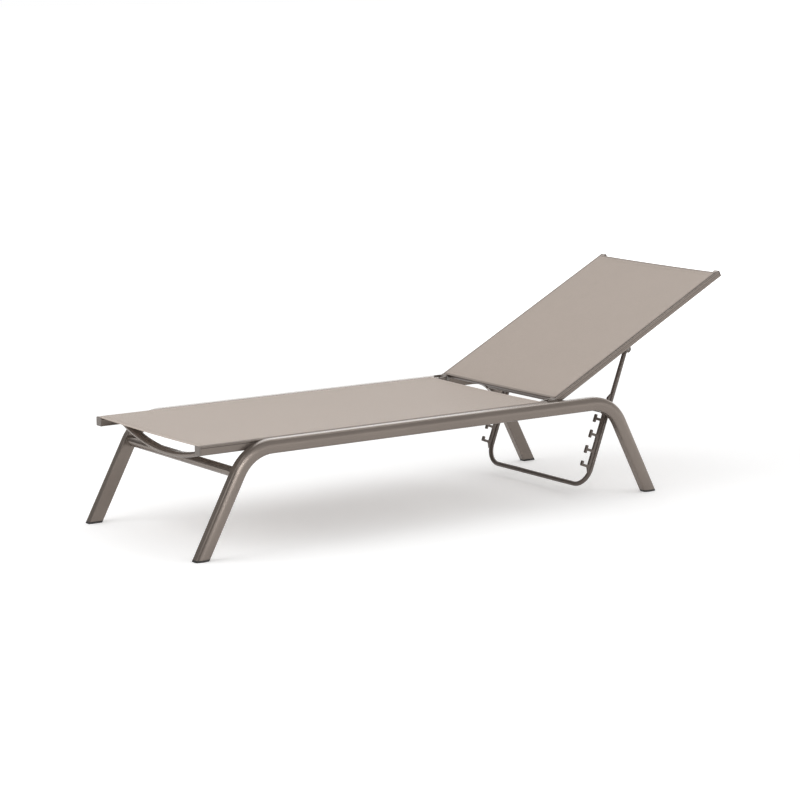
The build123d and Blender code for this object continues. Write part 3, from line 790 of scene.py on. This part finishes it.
# %% All the fasteners of a node
CRISP_ANGLE = math.radians(38)


def fasteners(name, node, body, dome, socket):
    builder = bmesh.new()
    for points in islands(node):
        outline, middle = fastener_outline(points, dome, socket)
        turned(builder, outline, middle.x, middle.z)
    bmesh.ops.remove_doubles(builder, verts=builder.verts, dist=NEARLY)
    bmesh.ops.recalc_face_normals(builder, faces=builder.faces)
    piece = new_piece(name, builder, body, slot_of[node])
    rims = piece.modifiers.new("crisp rims", "EDGE_SPLIT")
    rims.split_angle = CRISP_ANGLE
    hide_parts(node)
    print(name, len(piece.data.polygons), "faces")


# %% Rivets and screws
for name, node, body, dome, socket in (
    ("catch_bar_rivet_heads", "catch_bar_rivets", "frame", 0.85, 0.0),
    ("hinge_rivet_heads", "hinge_rivets", "frame", 0.85, 0.0),
    ("lug_rivet_heads", "lug_rivets", "back", 0.85, 0.0),
    ("rail_screw_heads_left", "rail_screws_left", "frame", 0.55, 0.62),
    ("rail_screw_heads_right", "rail_screws_right", "frame", 0.55, 0.62),
):
    fasteners(name, node, body, dome, socket)

# %% [markdown]
# ## Weld beads
# The cross tubes are welded round their ends, and the powder coat runs over the beads. A bead is a
# ring of small overlapping puddles, so its thickness swells a little every two millimetres. A tube
# can be round or a flat oval, so the bead is made as a ring of radius one, and each of its points is
# then carried to its share of the way round the tube's real outline.

# %% Round the outline of a tube's end
def on_rim(walked, straight, radius):
    """Foot and outward direction at a distance walked round a rim with two flats and two half rounds."""
    arc = math.pi * radius
    if walked < 2 * straight:
        return Vector((straight - walked, 0, radius)), Vector((0, 0, 1))
    if walked < 2 * straight + arc:
        angle = math.pi / 2 + (walked - 2 * straight) / radius
        normal = Vector((math.cos(angle), 0, math.sin(angle)))
        return Vector((-straight, 0, 0)) + normal * radius, normal
    if walked < 4 * straight + arc:
        return Vector((walked - 3 * straight - arc, 0, -radius)), Vector((0, 0, -1))
    angle = math.pi * 1.5 + (walked - 4 * straight - arc) / radius
    normal = Vector((math.cos(angle), 0, math.sin(angle)))
    return Vector((straight, 0, 0)) + normal * radius, normal


print("start of a round rim:", [round(v, 3) for v in on_rim(0.0, 0.0, 1.0)[0]])

# %% A bead round the end of a tube
BEAD_THICKNESS = 0.0021
BEAD_SIDES = 8
BEAD_STEP = 0.00055
PUDDLE_LENGTH = 0.0021
PUDDLE_SWELL = 0.16
RIM_BAND = 6e-4


def weld(name, node, side, body):
    points = [cad[node].matrix_world @ v.co for v in cad[node].data.vertices]
    low, high = extent(points)
    face_y = high.y if side > 0 else low.y
    rim_low, rim_high = extent([p for p in points if abs(p.y - face_y) < RIM_BAND])
    centre = (rim_low + rim_high) / 2
    radius = (rim_high.z - rim_low.z) / 2
    straight = max((rim_high.x - rim_low.x) / 2 - radius, 0.0)
    lap = math.tau * radius + 4 * straight
    builder = bmesh.new()
    profile = bmesh.ops.create_circle(
        builder, segments=BEAD_SIDES, radius=BEAD_THICKNESS, cap_ends=False,
    )
    bmesh.ops.translate(builder, verts=profile["verts"], vec=(1.0, 0, 0))
    bmesh.ops.spin(
        builder, geom=list(builder.verts) + list(builder.edges), cent=(0, 0, 0), axis=(0, 1, 0),
        angle=math.tau, steps=int(lap / BEAD_STEP), use_merge=True,
    )
    for vertex in builder.verts:
        walked = math.atan2(vertex.co.z, vertex.co.x) % math.tau / math.tau * lap
        swell = 1 + PUDDLE_SWELL * math.sin(math.tau * walked / PUDDLE_LENGTH)
        out = (math.hypot(vertex.co.x, vertex.co.z) - 1.0) * swell
        foot, normal = on_rim(walked, straight, radius)
        vertex.co = centre + foot + normal * out + Vector((0, vertex.co.y * swell, 0))
    bmesh.ops.recalc_face_normals(builder, faces=builder.faces)
    return new_piece(name, builder, body, slot_of[node])


print("puddles in 100 mm:", round(0.1 / PUDDLE_LENGTH))

# %% The welded ends
for node in (
    "foot_cross_tube", "seat_spreader_foot", "seat_spreader_middle", "seat_spreader_head", "catch_bar",
):
    for side, label in ((-1, "left"), (1, "right")):
        bead = weld(f"weld_{node}_{label}", node, side, "frame")
    print(node, "bead faces", len(bead.data.polygons))

# %% [markdown]
# ## Floor
# A product like this is photographed on a white sweep of paper under wide soft light, so its shadow
# is a pale grey pool. A matte floor alone would render grey. So it also glows, faintly near the
# lounger, where the shadow stays, and fully farther off, where it is plain white.

# %% Floor
FLOOR_HALF_SIZE = 60.0
FLOOR_WHITE = 0.90
GLOW_NEAR = 0.28
FADE_FROM = 2.2
FADE_TO = 3.6

floor_builder = bmesh.new()
bmesh.ops.create_grid(floor_builder, x_segments=8, y_segments=8, size=FLOOR_HALF_SIZE)
floor_mesh = bpy.data.meshes.new("floor")
floor_builder.to_mesh(floor_mesh)
floor_builder.free()
floor = bpy.data.objects.new("floor", floor_mesh)
bpy.context.scene.collection.objects.link(floor)

paper = new_finish("floor_white")
distance = paper.node("ShaderNodeVectorMath", {"operation": "LENGTH"}, {0: paper.place()}, out=1)
seen = paper.ray("Is Camera Ray") + paper.ray("Is Glossy Ray") + paper.ray("Is Transmission Ray")
far = paper.band(distance, FADE_FROM, FADE_TO)
glow = seen * (far * (1 - GLOW_NEAR) + GLOW_NEAR)
matte = paper.node("ShaderNodeBsdfDiffuse", {}, {"Color": shade((1, 1, 1), FLOOR_WHITE)})
glowing = paper.node("ShaderNodeEmission", {}, {"Color": glow, "Strength": 1.0})
both = paper.node("ShaderNodeAddShader", {}, {0: matte, 1: glowing})
paper.node("ShaderNodeOutputMaterial", {}, {"Surface": both})
floor_mesh.materials.append(paper.owner)
print("floor, m:", FLOOR_HALF_SIZE * 2, "plain white from, m:", FADE_TO)

# %% [markdown]
# ## Studio
# The white sweep stands beyond the lounger and its head end. The rest of the studio is grey, and
# darker toward the foot end, so the coated tubes mirror a light side and a dark side. Matte cloth
# gathers light from all round, so it gets an evener level than what the gloss mirrors. A light path
# tells the two apart. What the camera sees past the lounger is plain white. Each fade lies between
# two cosines of the angle from a direction.

# %% World
SWEEP_DIRECTION = (0.80, 0.60, 0.0)
SWEEP_IN_GLOSS = 1.7
DARK_IN_GLOSS = 0.10
GREY_IN_GLOSS = 0.52
SWEEP_ON_MATTE = 0.88
GREY_ON_MATTE = 0.62
CEILING_FADE = (0.70, 0.92)
MATTE_SWEEP_FADE = (-0.10, 0.55)
GLOSS_SWEEP_FADE = (0.20, 0.62)
HEAD_END_FADE = (-0.45, 0.60)

world = bpy.data.worlds.new("studio")
bpy.context.scene.world = world
studio = Finish(world)
ray = studio.place("Generated")
toward_sweep = studio.dot(ray, SWEEP_DIRECTION)
toward_head = studio.dot(ray, (1.0, 0.0, 0.0))
upward = studio.dot(ray, (0.0, 0.0, 1.0))
below_ceiling = 1 - studio.band(upward, *CEILING_FADE)
matte_sweep = studio.band(toward_sweep, *MATTE_SWEEP_FADE) * below_ceiling
gloss_sweep = studio.band(toward_sweep, *GLOSS_SWEEP_FADE) * below_ceiling
head_end = studio.band(toward_head, *HEAD_END_FADE)
gloss_grey = head_end * (GREY_IN_GLOSS - DARK_IN_GLOSS) + DARK_IN_GLOSS
gloss_level = gloss_sweep * (SWEEP_IN_GLOSS - gloss_grey) + gloss_grey
matte_level = matte_sweep * (SWEEP_ON_MATTE - GREY_ON_MATTE) + GREY_ON_MATTE
white = studio.ray("Is Camera Ray") + studio.ray("Is Transmission Ray")
mirrored = studio.ray("Is Glossy Ray")
level = white + mirrored * gloss_level + (1 - white - mirrored) * matte_level
background = studio.node("ShaderNodeBackground", {}, {"Color": level, "Strength": 1.0})
studio.node("ShaderNodeOutputWorld", {}, {"Surface": background})
print("nodes in the studio:", len(world.node_tree.nodes))

# %% [markdown]
# ## Soft lights
# Five soft lamps add shape. The ceiling lamp hangs toward the foot end, so the back is lit as well
# as the seat. Two long ones above draw light lines on the tubes. One at the front left lifts the
# near sides, and a low one lights the legs. They are a table, as only their numbers differ.

# %% Soft lights
def soft_light(name, place, target, size, watts):
    lamp = bpy.data.lights.new(name, "AREA")
    lamp.shape = "RECTANGLE"
    lamp.size, lamp.size_y = size
    lamp.energy = watts
    holder = bpy.data.objects.new(name, lamp)
    bpy.context.scene.collection.objects.link(holder)
    holder.location = place
    direction = Vector(target) - Vector(place)
    holder.rotation_euler = direction.to_track_quat("-Z", "Y").to_euler()
    print(name, round(direction.length, 2), "m away,", watts, "W")


for name, place, target, size, watts in (
    ("ceiling", (-3.1, 0.6, 2.7), (0.0, 0.0, 0.3), (2.6, 2.4), 35.0),
    ("strip_above", (0.5, -0.62, 2.6), (0.1, 0.0, 0.3), (0.28, 3.6), 8.0),
    ("strip_behind", (2.3, 1.3, 2.9), (0.0, -0.2, 0.3), (2.8, 0.7), 8.0),
    ("front_left", (-2.1, -3.3, 2.3), (-0.4, 0.0, 0.3), (0.7, 1.6), 12.0),
    ("low_front", (0.1, -4.0, 0.35), (-0.6, 0.0, 0.3), (0.6, 0.24), 10.0),
):
    soft_light(name, place, target, size, watts)

# %% [markdown]
# ## Camera
# The camera's place was worked out from the photograph and from what must be true of the lounger:
# its legs stand on one floor, and its rails are parallel. It comes out about eight metres away with
# a long lens, on the near side and somewhat toward the foot end. The two small shifts put the
# lounger where it stands in the picture.

# %% Camera at the photograph's place
camera_data = bpy.data.cameras.new("camera")
camera_data.lens = 116.8
camera_data.sensor_width = 36.0
camera_data.shift_x = 0.00175
camera_data.shift_y = 0.023
camera = bpy.data.objects.new("camera", camera_data)
camera.location = (-4.6593, -6.4028, 1.7012)
camera.rotation_euler = (math.radians(79.688), 0.0, math.radians(-35.647))
bpy.context.scene.collection.objects.link(camera)
bpy.context.scene.camera = camera
bpy.context.scene.view_settings.view_transform = "Standard"
print("camera, m from the middle:", round(camera.location.length, 2))
